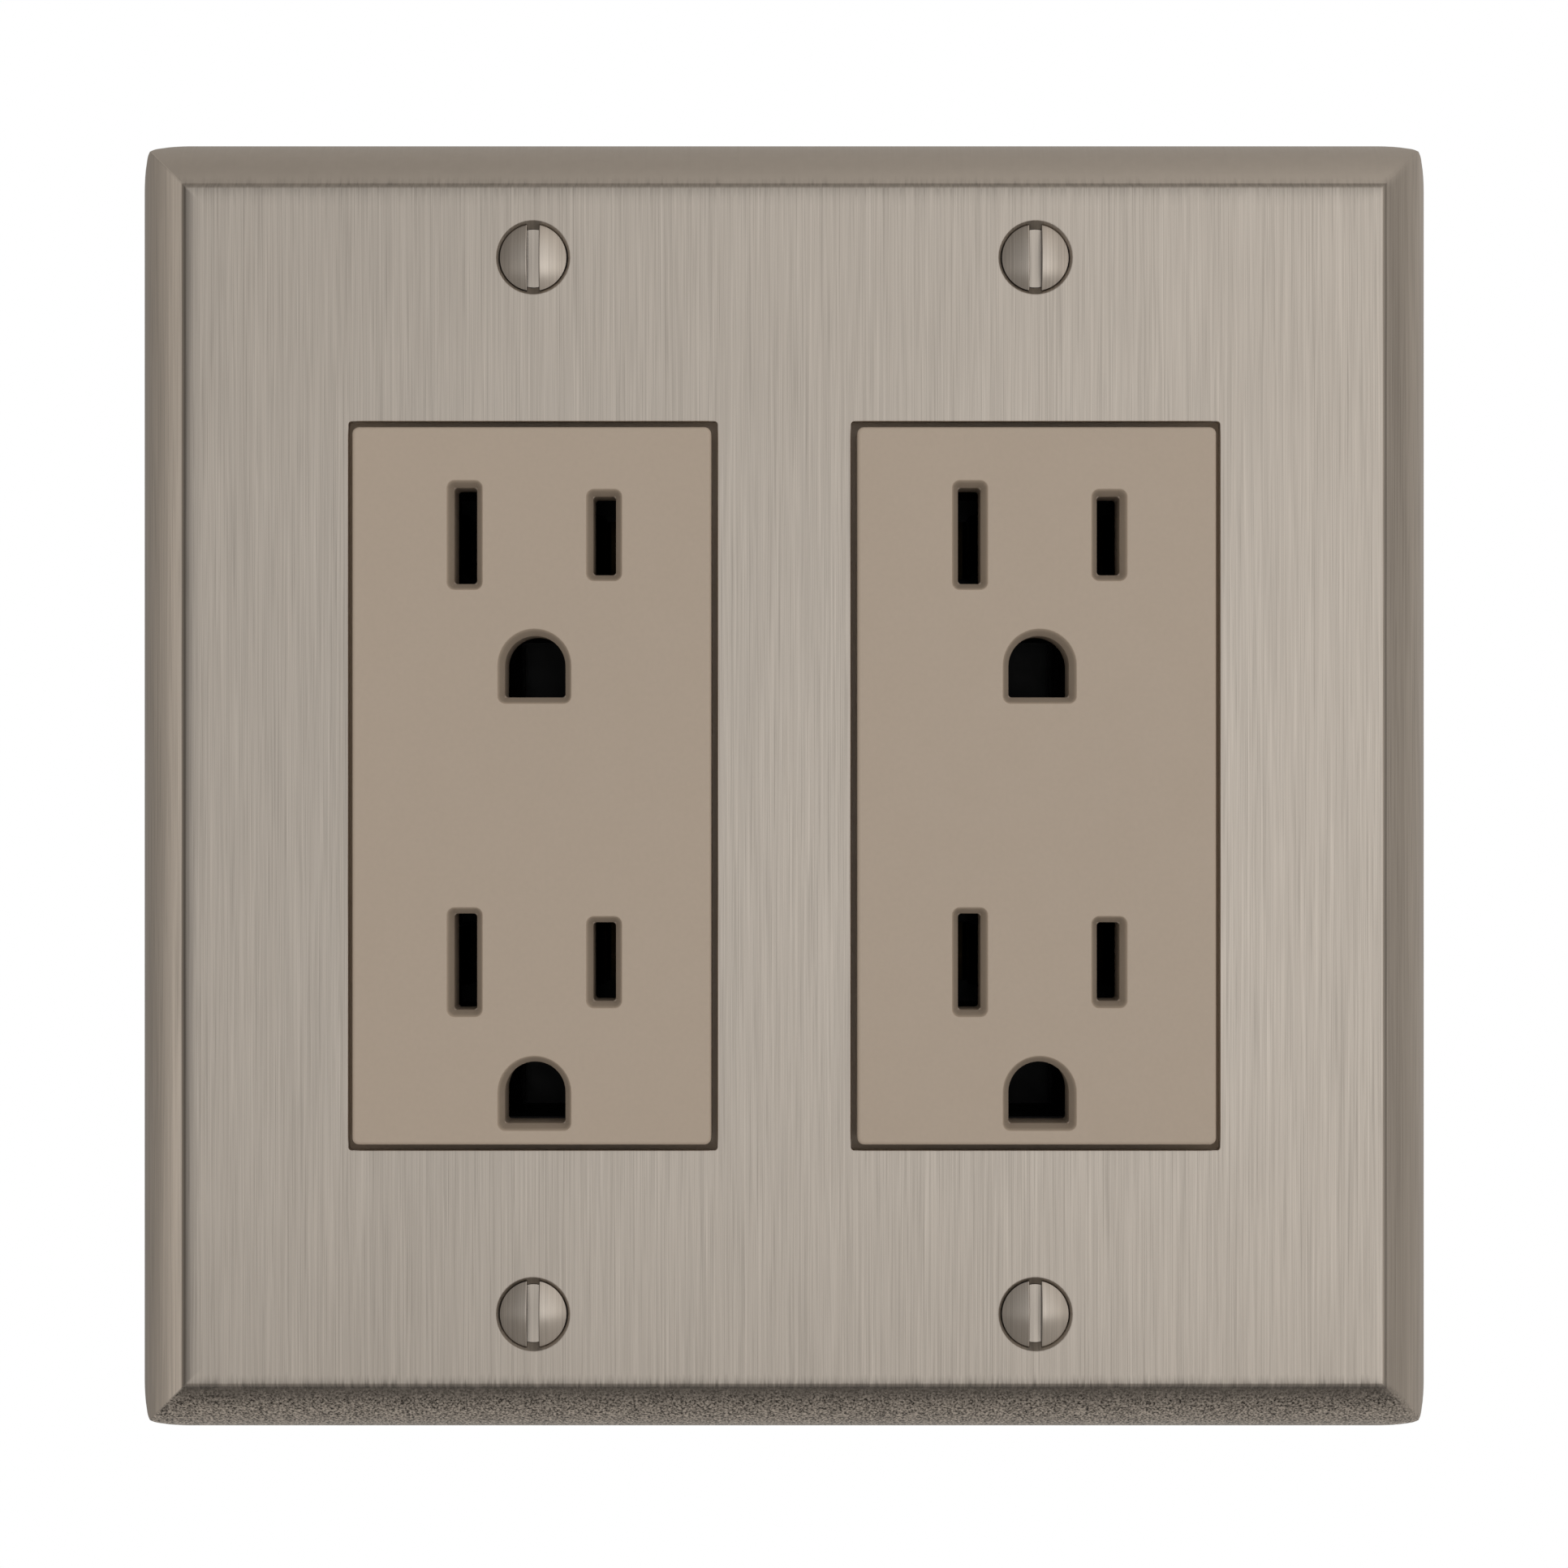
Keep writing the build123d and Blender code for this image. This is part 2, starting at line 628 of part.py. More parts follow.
def terminal_room(side):
    """The side pockets of the wire clamps, with their wire holes, and the window of the break-off tab."""
    inner = socket_shift + side * rail_outer_x
    outer = side * body_width
    room = between(inner, outer, tab_z - tab_neck_tall / 2 - slip, tab_z + tab_neck_tall / 2 + slip,
                   terminal_height - tab_neck_depth, terminal_height + tab_neck_depth)
    for z in terminal_zs.values():
        room += between(inner, outer, z - pocket_tall / 2, z + pocket_tall / 2, pocket_low, pocket_high)
        for spread in (-wire_hole_spread, wire_hole_spread):
            room += rod(inner + side * (wire_hole_radius + slip), z + spread, wire_hole_radius,
                        -body_depth, pocket_low)
    return room


def joining_screw(x, z):
    screw = rod(x, z, joining_radius, -body_depth + joining_seat, joining_reach - slip)
    head_top = -body_depth + joining_seat
    screw += rod(x, z, joining_head_radius, head_top - joining_head_height, head_top)
    cross = Rectangle(0.7, 2.6) + Rectangle(2.6, 0.7)
    return screw - slab(Pos(x, z) * cross, head_top - joining_head_height, head_top - joining_head_height + 0.8)


def joining_screws():
    return Compound(children=[joining_screw(x, z) for x, z in joining_points()])


def box_screw(z):
    neck = seat_gap + strap_sheet + retainer_sheet + box_screw_neck_spare
    screw = pan_screw(pan_head_radius, pan_head_height, pan_slot_width, pan_slot_depth, box_screw_length, neck)
    return Plane.XZ.offset(strap_sheet + seat_gap) * (Pos(0, z) * screw)


def screw_retainers():
    """The small fibre squares that keep the box screws in the strap before it is fitted."""
    retainers = []
    for z in (-box_screw_span / 2, box_screw_span / 2):
        square = RectangleRounded(retainer_size, retainer_size, 0.8) - Circle(thread_radius + thread_clearance)
        retainers.append(slab(Pos(0, z) * square, -retainer_sheet, 0))
    return Compound(children=retainers)


# ---- wire terminals: a clamp plate and a screw, standing on a local plane with Z outwards ----

def clamp_plate():
    """A square plate with two ribs that bite on the wires. Z = 0 is the side that meets the terminal."""
    plate = extrude(RectangleRounded(clamp_size, clamp_size, 1.0), amount=clamp_sheet)
    for x in (-wire_hole_spread, wire_hole_spread):
        groove = Pos(x, 0, 0) * Rot(90, 0, 0) * Cylinder(clamp_rib, clamp_size)
        plate -= groove
    return plate - Cylinder(thread_radius + thread_clearance, 4 * clamp_sheet)


def terminal_screw(turn):
    screw = pan_screw(terminal_head_radius, terminal_head_height, terminal_slot_width, terminal_slot_depth,
                      terminal_screw_length)
    return Rot(0, 0, turn) * screw


def terminal_plane(side, x, height, z):
    """Stands a terminal's pieces on the outer side of its contact, with the wires running front to back."""
    return Plane(origin=(x, -height, z), x_dir=(0, 0, 1), z_dir=(side, 0, 0))


def terminals():
    """The planes of a receptacle's five wire terminals, by name."""
    planes = {}
    for name, side in sides.items():
        for level, z in terminal_zs.items():
            planes[name + "_" + level] = terminal_plane(side, socket_shift + side * rail_outer_x,
                                                        terminal_height, z)
    planes["ground"] = terminal_plane(-1, -strap_end_width / 2, ground_terminal_height(), ground_terminal_z)
    return planes


def receptacle():
    """Every piece of one receptacle, by name."""
    pieces = {
        "receptacle_face": receptacle_face(),
        "back_body": back_body(),
        "mounting_strap": mounting_strap(),
        "hot_contacts": contacts_for(sides["hot"]),
        "neutral_contacts": contacts_for(sides["neutral"]),
        "ground_contacts": ground_contacts(),
        "ground_rivets": ground_rivets(),
        "joining_screws": joining_screws(),
        "screw_retainers": screw_retainers(),
        "box_screw_upper": box_screw(box_screw_span / 2),
        "box_screw_lower": box_screw(-box_screw_span / 2),
    }
    for name, plane in terminals().items():
        pieces[name + "_wire_clamp"] = plane.offset(seat_gap) * clamp_plate()
        pieces[name + "_terminal_screw"] = (
            plane.offset(2 * seat_gap + clamp_sheet) * terminal_screw(terminal_head_turns[name]))
    return pieces


def all_pieces():
    pieces = {"wall_plate": wall_plate()}
    for gang, x in gangs.items():
        for level, z in (("upper", plate_screw_span / 2), ("lower", -plate_screw_span / 2)):
            pieces[gang + "_plate_screw_" + level] = plate_screw(x, z)
    for name, piece in receptacle().items():
        for gang, x in gangs.items():
            pieces[gang + "_" + name] = Pos(x, 0, 0) * piece
    return pieces


os.makedirs("parts", exist_ok=True)
for name, piece in all_pieces().items():
    export_step(piece, "parts/" + name + ".step")
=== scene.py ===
import json
from math import pi

import bpy
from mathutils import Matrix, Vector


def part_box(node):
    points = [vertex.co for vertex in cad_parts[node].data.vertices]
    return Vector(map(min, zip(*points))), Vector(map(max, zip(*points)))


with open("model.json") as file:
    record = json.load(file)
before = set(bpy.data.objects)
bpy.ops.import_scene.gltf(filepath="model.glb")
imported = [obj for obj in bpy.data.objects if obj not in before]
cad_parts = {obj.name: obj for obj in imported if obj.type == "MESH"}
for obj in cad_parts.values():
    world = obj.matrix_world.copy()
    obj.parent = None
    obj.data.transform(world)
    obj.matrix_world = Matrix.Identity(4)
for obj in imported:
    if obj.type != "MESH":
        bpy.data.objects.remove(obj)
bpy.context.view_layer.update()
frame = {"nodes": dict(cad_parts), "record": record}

MM = 0.001

# ---- camera ----

# The picture's width holds at the front of the wall plate
FACE_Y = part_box("wall_plate")[0][1]
CAMERA_DISTANCE = 0.32
PICTURE_WIDTH = 0.14364
SENSOR_WIDTH = 36.0
AIM_X = -0.00002
AIM_Z = 0.00017

# ---- places on the object, which the materials follow ----

# Where the plate's raised panel ends and its bevels start, from its middle, sideways and upright alike
BEVEL_RUN = 4.6 * MM
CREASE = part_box("wall_plate")[1][0] - BEVEL_RUN
# Where a side bevel's finish and painted shade give way to an end bevel's, from the mitre: crisp left, soft
# right
MITRE_LEFT = (-0.15 * MM, 0.15 * MM)
MITRE_RIGHT = (-0.8 * MM, 0.6 * MM)

# Centre lines of the receptacles, and the screw dimples of the plate, from its middle
GANG_X = 23.02 * MM
DIMPLE_Z = 48.42 * MM
DIMPLE_RADIUS = 3.4 * MM
# Across this rim the painted shade in a screw dimple fades out
DIMPLE_RIM = (DIMPLE_RADIUS - 0.05 * MM, DIMPLE_RADIUS + 0.12 * MM)

# What lies in front of this is a plate screw's head
SCREW_HEAD_Y = FACE_Y + 1.0 * MM

# How far behind a receptacle's front its openings carry painted shade, and how far the openings reach
RECEPTACLE_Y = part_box("left_receptacle_face")[0][1]
MOUTH_DEPTH = (RECEPTACLE_Y + 0.12 * MM, RECEPTACLE_Y + 0.5 * MM)
FACE_REACH = (14.5 * MM, 15.0 * MM)
FACE_END = (31.9 * MM, 32.2 * MM)

# The rooms inside the back bodies, which carry painted shade: how far they reach sideways, and into the wall
ROOM_REACH = (11.0 * MM, 12.0 * MM)
ROOM_DEPTH = (18.0 * MM, 19.0 * MM)
# Distance from a receptacle's centre line at which the painted shade on its contacts starts to thin, and
# ends
CONTACT_SHADE_REACH = (9.5 * MM, 11.0 * MM)

# ---- linear colours ----

PLATE = (0.455, 0.405, 0.352)
PLASTIC = (0.495, 0.404, 0.317)
ZINC = (0.56, 0.57, 0.575)
BRASS = (0.72, 0.50, 0.22)
NICKEL = (0.66, 0.64, 0.60)
GREEN = (0.03, 0.22, 0.07)
BODY = (0.018, 0.018, 0.02)
FIBRE = (0.30, 0.095, 0.05)
FLOOR = (0.9, 0.9, 0.9)

# ---- how dark the surfaces are in places: painted shade and painted highlight ----

# Painted shade and painted highlight on the plate, by the distance in mm past the crease between panel and
# bevel
PAINTED_LIGHT_LEFT = ((-1.7, 1.0), (-1.1, 0.92), (-0.6, 0.76), (-0.3, 0.52), (0.0, 0.4), (0.2, 0.75), (0.5, 1.5),
              (1.2, 1.65), (3.0, 1.35), (4.6, 1.0))
PAINTED_LIGHT_RIGHT = ((-0.9, 1.0), (-0.4, 1.04), (0.0, 1.0), (0.3, 0.72), (1.5, 0.78), (3.0, 1.02), (4.6, 1.15))
PAINTED_LIGHT_TOP = ((-1.7, 1.0), (-0.9, 0.93), (-0.3, 0.8), (0.0, 0.72), (0.4, 0.9), (0.9, 1.01), (4.6, 1.07))
PAINTED_LIGHT_BOTTOM = ((-0.9, 1.0), (-0.4, 0.86), (0.0, 0.6), (0.4, 0.33), (1.3, 0.48), (2.6, 0.74), (4.6, 0.88))
# How far the brush lines carry the panel's upper and lower ends over the crease, in mm
RAGGED = 0.3
# Painted shade and painted highlight on a plate screw's head, by how far its surface leans to the left or
# the right
PAINTED_LIGHT_HEAD = ((-0.5, 0.62), (-0.12, 0.74), (-0.03, 1.0), (0.03, 1.0), (0.12, 1.08), (0.5, 1.12))
# Painted shade on the upright walls of a screw's slot: the lean over which it sets in, and how dark it is
SLOT_WALL_LEAN = (0.85, 0.97)
SLOT_WALL_SHADE = 0.06
# Painted shade in the plate's screw dimples
DIMPLE_SHADE = 0.85
# Painted shade in a receptacle's openings
MOUTH_SHADE = 0.72
# Painted shade in the rooms inside the back bodies
BODY_ROOM_SHADE = 0.04
# Painted shade on the contacts nearest the openings in the face
CONTACT_SHADE_LEVEL = 0.015

# ---- textures: noise waves in each metre, or (across, along) brush lines, or one for each axis ----

# Most of a noise's values lie between these
NOISE_SPAN = (0.3, 0.7)

STREAKS = (2600, 24)
NARROW_LINES = (9000, 60)
HAIRLINES = (13000, 90)
# A hairline is where the noise is above the first of these, and is darkest from the second on
HAIR_SPAN = (0.52, 0.7)
LINE_RELIEF = (7000, 70)
LINE_GLOSS = (4000, 60)
LINE_ENDS = (4200, 300)
BRUSHED_CLOUDS = 38
# Contrast of streaks and hairlines, as a share of that of the narrow lines
STREAK_SHARE = 0.3
HAIR_SHARE = 1.5

# The blasted bevel: its grains show in full from the second distance past the crease on, in mm
BLAST_GRAINS = 4600
BLAST_START = (0.3, 1.6)
BLAST_START_SHARE = 0.25
BLAST_SPAN = (0.35, 0.65)
BLAST_CONTRAST = 0.85
BLAST_RELIEF = 2.6
# The smooth bevel
SMOOTH_CLOUDS = 900
SMOOTH_RELIEF = 0.25
# Both start within this distance past the crease, in mm
FINISH_START = (0.0, 0.4)

FLOW_MARKS = (30, 30, 16)
PLASTIC_SPECKS = 2200
PLASTIC_GLOSS = 300
PLASTIC_GRAIN = 3600

CRYSTALS = 900
PLATING_CLOUDS = 160
PLATING_GLOSS = 500
SCRATCHES = (5000, 900, 260)

FIBRE_STRANDS = (2600, 2600, 500)
FIBRE_GLOSS = 700
FIBRE_RELIEF = (3000, 3000, 700)

FLOOR_CLOUDS = 9
FLOOR_GLOSS = 40

# How much faint clouds and specks vary a colour
FAINT = 0.015

# ---- room ----

# Brightness in front of the plate by direction, from left to right and from below to above
ROOM_ACROSS = ((-1.0, 0.38), (-0.64, 0.71), (-0.5, 0.73), (-0.15, 0.83), (0.0, 1.08), (0.15, 1.31),
               (0.4, 1.24), (0.64, 0.95), (0.95, 0.62))
ROOM_UPRIGHT = ((-1.0, 0.2), (-0.64, 0.26), (-0.35, 0.9), (-0.15, 1.13), (0.15, 0.88), (0.35, 0.86),
                (0.64, 0.73), (1.0, 0.5))
ROOM_BEHIND = 0.43
ROOM_BEHIND_TILT = 0.12
ROOM_BEHIND_RISE = 0.1
# Where the front of the room gives way to what is behind the plate, by direction
ROOM_TURN = (-0.35, 0.3)
# The walls of the room are a little warmer than what is in front of the plate, and start between these
ROOM_WARMTH = (1.0, 0.958, 0.912, 1.0)
WALL_START = (-0.95, -0.6)

FLOOR_HALF_WIDTH = 0.5
FLOOR_FRONT = -0.55
FLOOR_BACK = 0.28
FLOOR_LEVEL = -0.19


# ---- node helpers ----

def new_material(name):
    material = bpy.data.materials.new(name)
    material.use_nodes = True
    tree = material.node_tree
    shader = tree.nodes["Principled BSDF"]
    return material, tree, shader


def node(tree, kind, **values):
    """Adds a node, and sets the attributes and inputs that are named."""
    made = tree.nodes.new(kind)
    for name, value in values.items():
        if hasattr(made, name):
            setattr(made, name, value)
        else:
            made.inputs[name.replace("_", " ")].default_value = value
    return made


def feed(tree, socket, value):
    """Sets a socket to a number, or links it to another node's output."""
    if isinstance(value, (int, float)):
        socket.default_value = value
    else:
        tree.links.new(value, socket)


def calc(tree, operation, one, other=0.0):
    made = node(tree, "ShaderNodeMath", operation=operation)
    feed(tree, made.inputs[0], one)
    feed(tree, made.inputs[1], other)
    return made.outputs["Value"]


def product(tree, first, *others):
    for other in others:
        first = calc(tree, "MULTIPLY", first, other)
    return first


def blend(tree, factor, one, other):
    """From one value to another as the factor goes from 0 to 1."""
    made = node(tree, "ShaderNodeMix", data_type="FLOAT")
    feed(tree, made.inputs["Factor"], factor)
    feed(tree, made.inputs["A"], one)
    feed(tree, made.inputs["B"], other)
    return made.outputs["Result"]


def remap(tree, value, low, high, out_low, out_high):
    made = node(tree, "ShaderNodeMapRange", clamp=True, From_Min=low, From_Max=high, To_Min=out_low,
                To_Max=out_high)
    tree.links.new(value, made.inputs["Value"])
    return made.outputs["Result"]


def profile(tree, value, stops):
    """A value that follows the stops (position, level), straight between them."""
    low, high = stops[0][0], stops[-1][0]
    top = max(level for _, level in stops)
    ramp = node(tree, "ShaderNodeValToRGB")
    elements = ramp.color_ramp.elements
    for index, (position, level) in enumerate(stops):
        place = (position - low) / (high - low)
        element = elements[index] if index < 2 else elements.new(place)
        element.position = place
        element.color = (level / top, level / top, level / top, 1)
    tree.links.new(remap(tree, value, low, high, 0.0, 1.0), ramp.inputs["Fac"])
    return calc(tree, "MULTIPLY", ramp.outputs["Color"], top)


def coordinate(tree, axis, kind="Object"):
    """One axis of a point's place, or with kind "Normal" of the direction that its surface faces."""
    coords = node(tree, "ShaderNodeTexCoord")
    split = node(tree, "ShaderNodeSeparateXYZ")
    tree.links.new(coords.outputs[kind], split.inputs["Vector"])
    return split.outputs[axis]


def stretched(tree, scale):
    """Object coordinates, scaled evenly by one number or along each axis by three."""
    if isinstance(scale, (int, float)):
        scale = (scale, scale, scale)
    coords = node(tree, "ShaderNodeTexCoord")
    mapping = node(tree, "ShaderNodeMapping", Scale=scale)
    tree.links.new(coords.outputs["Object"], mapping.inputs["Vector"])
    return mapping.outputs["Vector"]


def noise(tree, scale, detail=3.0, roughness=0.6, distortion=0.0):
    made = node(tree, "ShaderNodeTexNoise", Scale=1.0, Detail=detail, Roughness=roughness,
                Distortion=distortion)
    tree.links.new(stretched(tree, scale), made.inputs["Vector"])
    return made.outputs["Fac"]


def noise_between(tree, low, high, scale, detail=3.0, roughness=0.6, distortion=0.0):
    return remap(tree, noise(tree, scale, detail, roughness, distortion), *NOISE_SPAN, low, high)


def noise_around(tree, middle, spread, scale, detail=3.0):
    """Noise that varies a value by a share of itself."""
    return noise_between(tree, middle * (1 - spread), middle * (1 + spread), scale, detail)


def tinted(tree, colour, factor):
    """A colour times a factor that varies over the surface."""
    made = node(tree, "ShaderNodeVectorMath", operation="SCALE")
    made.inputs[0].default_value = colour
    tree.links.new(factor, made.inputs["Scale"])
    return made.outputs["Vector"]


def bump(tree, height, distance, strength):
    made = node(tree, "ShaderNodeBump", Distance=distance, Strength=strength)
    tree.links.new(height, made.inputs["Height"])
    return made.outputs["Normal"]


# ---- masks by place ----

def from_gang(tree):
    """Sideways distance from the centre line of the nearer receptacle."""
    wide = calc(tree, "ABSOLUTE", coordinate(tree, "X"))
    return calc(tree, "ABSOLUTE", calc(tree, "SUBTRACT", wide, GANG_X))


# Mask of the painted shade inside the back bodies
def in_body_room(tree):
    """Whether a point is in the rooms inside a back body."""
    near = remap(tree, from_gang(tree), *ROOM_REACH, 1.0, 0.0)
    return calc(tree, "MULTIPLY", near, remap(tree, coordinate(tree, "Y"), *ROOM_DEPTH, 1.0, 0.0))


# Mask of the painted shade in a receptacle's openings
def in_face_opening(tree):
    """Whether a point is behind a receptacle's front and away from its outer sides."""
    tall = calc(tree, "ABSOLUTE", coordinate(tree, "Z"))
    near = remap(tree, from_gang(tree), *FACE_REACH, 1.0, 0.0)
    deep = remap(tree, coordinate(tree, "Y"), *MOUTH_DEPTH, 0.0, 1.0)
    return product(tree, near, remap(tree, tall, *FACE_END, 1.0, 0.0), deep)


# ---- brushed metal of the plate and its screws ----

def upright_lines(across, along):
    """Noise scale for brush lines along Z, which the bevels carry on towards the wall."""
    return (across, along, along)


def brush_shade(tree, contrast):
    """How brush lines vary a metal's brightness: faint streaks, narrow lines, and hairlines."""
    streaks = noise_around(tree, 1.0, contrast * STREAK_SHARE, upright_lines(*STREAKS), 2.0)
    narrow = noise_around(tree, 1.0, contrast, upright_lines(*NARROW_LINES), 2.0)
    hair = remap(tree, noise(tree, upright_lines(*HAIRLINES), 1.0), *HAIR_SPAN, 1.0,
                 1 - contrast * HAIR_SHARE)
    cloud = noise_around(tree, 1.0, FAINT, BRUSHED_CLOUDS, 2.0)
    return product(tree, streaks, narrow, hair, cloud)


def brushed_metal(name, colour, roughness, finish, contrast=0.1, line_height=0.01 * MM):
    """Metal brushed along Z. finish(tree, shade, height) gives the shade and the bump's height in full."""
    material, tree, shader = new_material(name)
    relief = noise(tree, upright_lines(*LINE_RELIEF), 2.0, 0.7)
    shade, height = finish(tree, brush_shade(tree, contrast), relief)
    tree.links.new(tinted(tree, colour, shade), shader.inputs["Base Color"])
    rough = noise_around(tree, roughness, 0.1, upright_lines(*LINE_GLOSS), 2.0)
    tree.links.new(rough, shader.inputs["Roughness"])
    tree.links.new(bump(tree, height, line_height, 0.6), shader.inputs["Normal"])
    shader.inputs["Metallic"].default_value = 1.0
    return material


def past_crease(tree, distance):
    """How far a distance from the plate's middle is past the crease, in mm."""
    return calc(tree, "DIVIDE", calc(tree, "SUBTRACT", distance, CREASE), MM)


def dimple_shade(tree, wide, tall):
    """Painted shade in the screw dimples."""
    off_x = calc(tree, "SUBTRACT", wide, GANG_X)
    off_z = calc(tree, "SUBTRACT", tall, DIMPLE_Z)
    square = calc(tree, "ADD", product(tree, off_x, off_x), product(tree, off_z, off_z))
    return remap(tree, calc(tree, "SQRT", square), *DIMPLE_RIM, DIMPLE_SHADE, 1.0)


def plate_finish(tree, shade, height):
    """The plate's bevels: blasted along the bottom, smooth along the top, with painted shade and painted
    highlight from the crease out.
    """
    x, z = coordinate(tree, "X"), coordinate(tree, "Z")
    wide, tall = calc(tree, "ABSOLUTE", x), calc(tree, "ABSOLUTE", z)
    right, above = calc(tree, "GREATER_THAN", x, 0), calc(tree, "GREATER_THAN", z, 0)
    past_side = past_crease(tree, wide)
    ragged = noise_between(tree, -RAGGED, RAGGED, upright_lines(*LINE_ENDS), 2.0)
    past_end = calc(tree, "ADD", past_crease(tree, tall), ragged)
    past_mitre = calc(tree, "SUBTRACT", tall, wide)
    mitre = blend(tree, right, remap(tree, past_mitre, *MITRE_LEFT, 0.0, 1.0),
                  remap(tree, past_mitre, *MITRE_RIGHT, 0.0, 1.0))

    on_end = calc(tree, "MULTIPLY", mitre, remap(tree, past_end, *FINISH_START, 0.0, 1.0))
    blasted = calc(tree, "MULTIPLY", on_end, calc(tree, "SUBTRACT", 1.0, above))
    smooth = calc(tree, "MULTIPLY", on_end, above)
    grains = noise(tree, BLAST_GRAINS, 2.0)
    grain_share = remap(tree, past_end, *BLAST_START, BLAST_START_SHARE, 1.0)
    spots = remap(tree, grains, *BLAST_SPAN, -BLAST_CONTRAST, BLAST_CONTRAST)
    speckled = calc(tree, "ADD", calc(tree, "MULTIPLY", spots, grain_share), 1.0)
    shade = blend(tree, blasted, shade, speckled)
    shade = blend(tree, smooth, shade, noise_around(tree, 1.0, 0.02, SMOOTH_CLOUDS))
    height = blend(tree, blasted, height, product(tree, grains, grain_share, BLAST_RELIEF))
    height = blend(tree, smooth, height, calc(tree, "MULTIPLY", height, SMOOTH_RELIEF))

    # Painted shade and painted highlight on each bevel, from the crease out
    at_side = blend(tree, right, profile(tree, past_side, PAINTED_LIGHT_LEFT), profile(tree, past_side, PAINTED_LIGHT_RIGHT))
    at_end = blend(tree, above, profile(tree, past_end, PAINTED_LIGHT_BOTTOM), profile(tree, past_end, PAINTED_LIGHT_TOP))
    shade = product(tree, shade, blend(tree, mitre, at_side, at_end), dimple_shade(tree, wide, tall))
    return shade, height


def head_finish(tree, shade, height):
    """A plate screw's head: painted shade on the walls of its slot and on its left half, and a painted
    highlight on its right half.
    """
    facing = coordinate(tree, "X", "Normal")
    upright_wall = remap(tree, calc(tree, "ABSOLUTE", facing), *SLOT_WALL_LEAN, 0.0, 1.0)
    in_head = calc(tree, "LESS_THAN", coordinate(tree, "Y"), SCREW_HEAD_Y)
    # Painted shade on the left half of the head and painted highlight on its right half
    lean = profile(tree, facing, PAINTED_LIGHT_HEAD)
    shade = calc(tree, "MULTIPLY", shade, blend(tree, in_head, 1.0, lean))
    # Painted shade on the slot's walls
    return blend(tree, calc(tree, "MULTIPLY", upright_wall, in_head), shade, SLOT_WALL_SHADE), height


# ---- other materials ----

def moulded_plastic(name, colour, roughness, grain, specular, in_painted_shade, painted_shade_level):
    """Moulded plastic with a fine satin grain, faint flow marks in its colour, and painted shade in one
    place.
    """
    material, tree, shader = new_material(name)
    flow = noise_around(tree, 1.0, FAINT, FLOW_MARKS, 2.0)
    specks = noise_around(tree, 1.0, FAINT, PLASTIC_SPECKS, 2.0)
    # Painted shade in the place that the mask gives
    shade = product(tree, flow, specks, blend(tree, in_painted_shade(tree), 1.0, painted_shade_level))
    tree.links.new(tinted(tree, colour, shade), shader.inputs["Base Color"])
    rough = noise_around(tree, roughness, 0.1, PLASTIC_GLOSS, 2.0)
    tree.links.new(rough, shader.inputs["Roughness"])
    shader.inputs["Specular IOR Level"].default_value = specular
    texture = noise(tree, PLASTIC_GRAIN, 2.0, 0.5)
    tree.links.new(bump(tree, texture, 0.01 * MM, grain), shader.inputs["Normal"])
    return material


def plated_metal(name, colour, roughness, spangle=0.06, with_painted_shade=False):
    """Plated or rolled metal: cloudy crystals in the plating, small scratches and dull spots. With painted
    shade, it is black where it is nearest to the openings in the face."""
    material, tree, shader = new_material(name)
    cells = node(tree, "ShaderNodeTexVoronoi", Scale=1.0)
    tree.links.new(stretched(tree, CRYSTALS), cells.inputs["Vector"])
    crystal = remap(tree, cells.outputs["Distance"], 0.0, 1.0, 1 - spangle, 1 + spangle)
    shade = calc(tree, "MULTIPLY", crystal, noise_between(tree, 0.92, 1.06, PLATING_CLOUDS))
    if with_painted_shade:
        # Painted shade: black near the openings in the face
        painted_contact_shade = remap(tree, from_gang(tree), *CONTACT_SHADE_REACH, CONTACT_SHADE_LEVEL, 1.0)
        shade = calc(tree, "MULTIPLY", shade, painted_contact_shade)
    tree.links.new(tinted(tree, colour, shade), shader.inputs["Base Color"])
    rough = noise_between(tree, roughness * 0.75, roughness * 1.3, PLATING_GLOSS)
    tree.links.new(rough, shader.inputs["Roughness"])
    scratches = noise(tree, SCRATCHES, 3.0, 0.7, 1.0)
    tree.links.new(bump(tree, scratches, 0.02 * MM, 0.3), shader.inputs["Normal"])
    shader.inputs["Metallic"].default_value = 1.0
    return material


def pressed_fibre(name, colour):
    material, tree, shader = new_material(name)
    strands = noise_between(tree, 0.75, 1.25, FIBRE_STRANDS, 4.0, 0.7, 1.5)
    tree.links.new(tinted(tree, colour, strands), shader.inputs["Base Color"])
    tree.links.new(noise_between(tree, 0.65, 0.85, FIBRE_GLOSS, 2.0), shader.inputs["Roughness"])
    relief = noise(tree, FIBRE_RELIEF, 4.0)
    tree.links.new(bump(tree, relief, 0.03 * MM, 0.5), shader.inputs["Normal"])
    return material


def floor_paint():
    material, tree, shader = new_material("floor_paint")
    cloud = noise_around(tree, 1.0, FAINT, FLOOR_CLOUDS)
    tree.links.new(tinted(tree, FLOOR, cloud), shader.inputs["Base Color"])
    tree.links.new(noise_between(tree, 0.7, 0.85, FLOOR_GLOSS), shader.inputs["Roughness"])
    return material


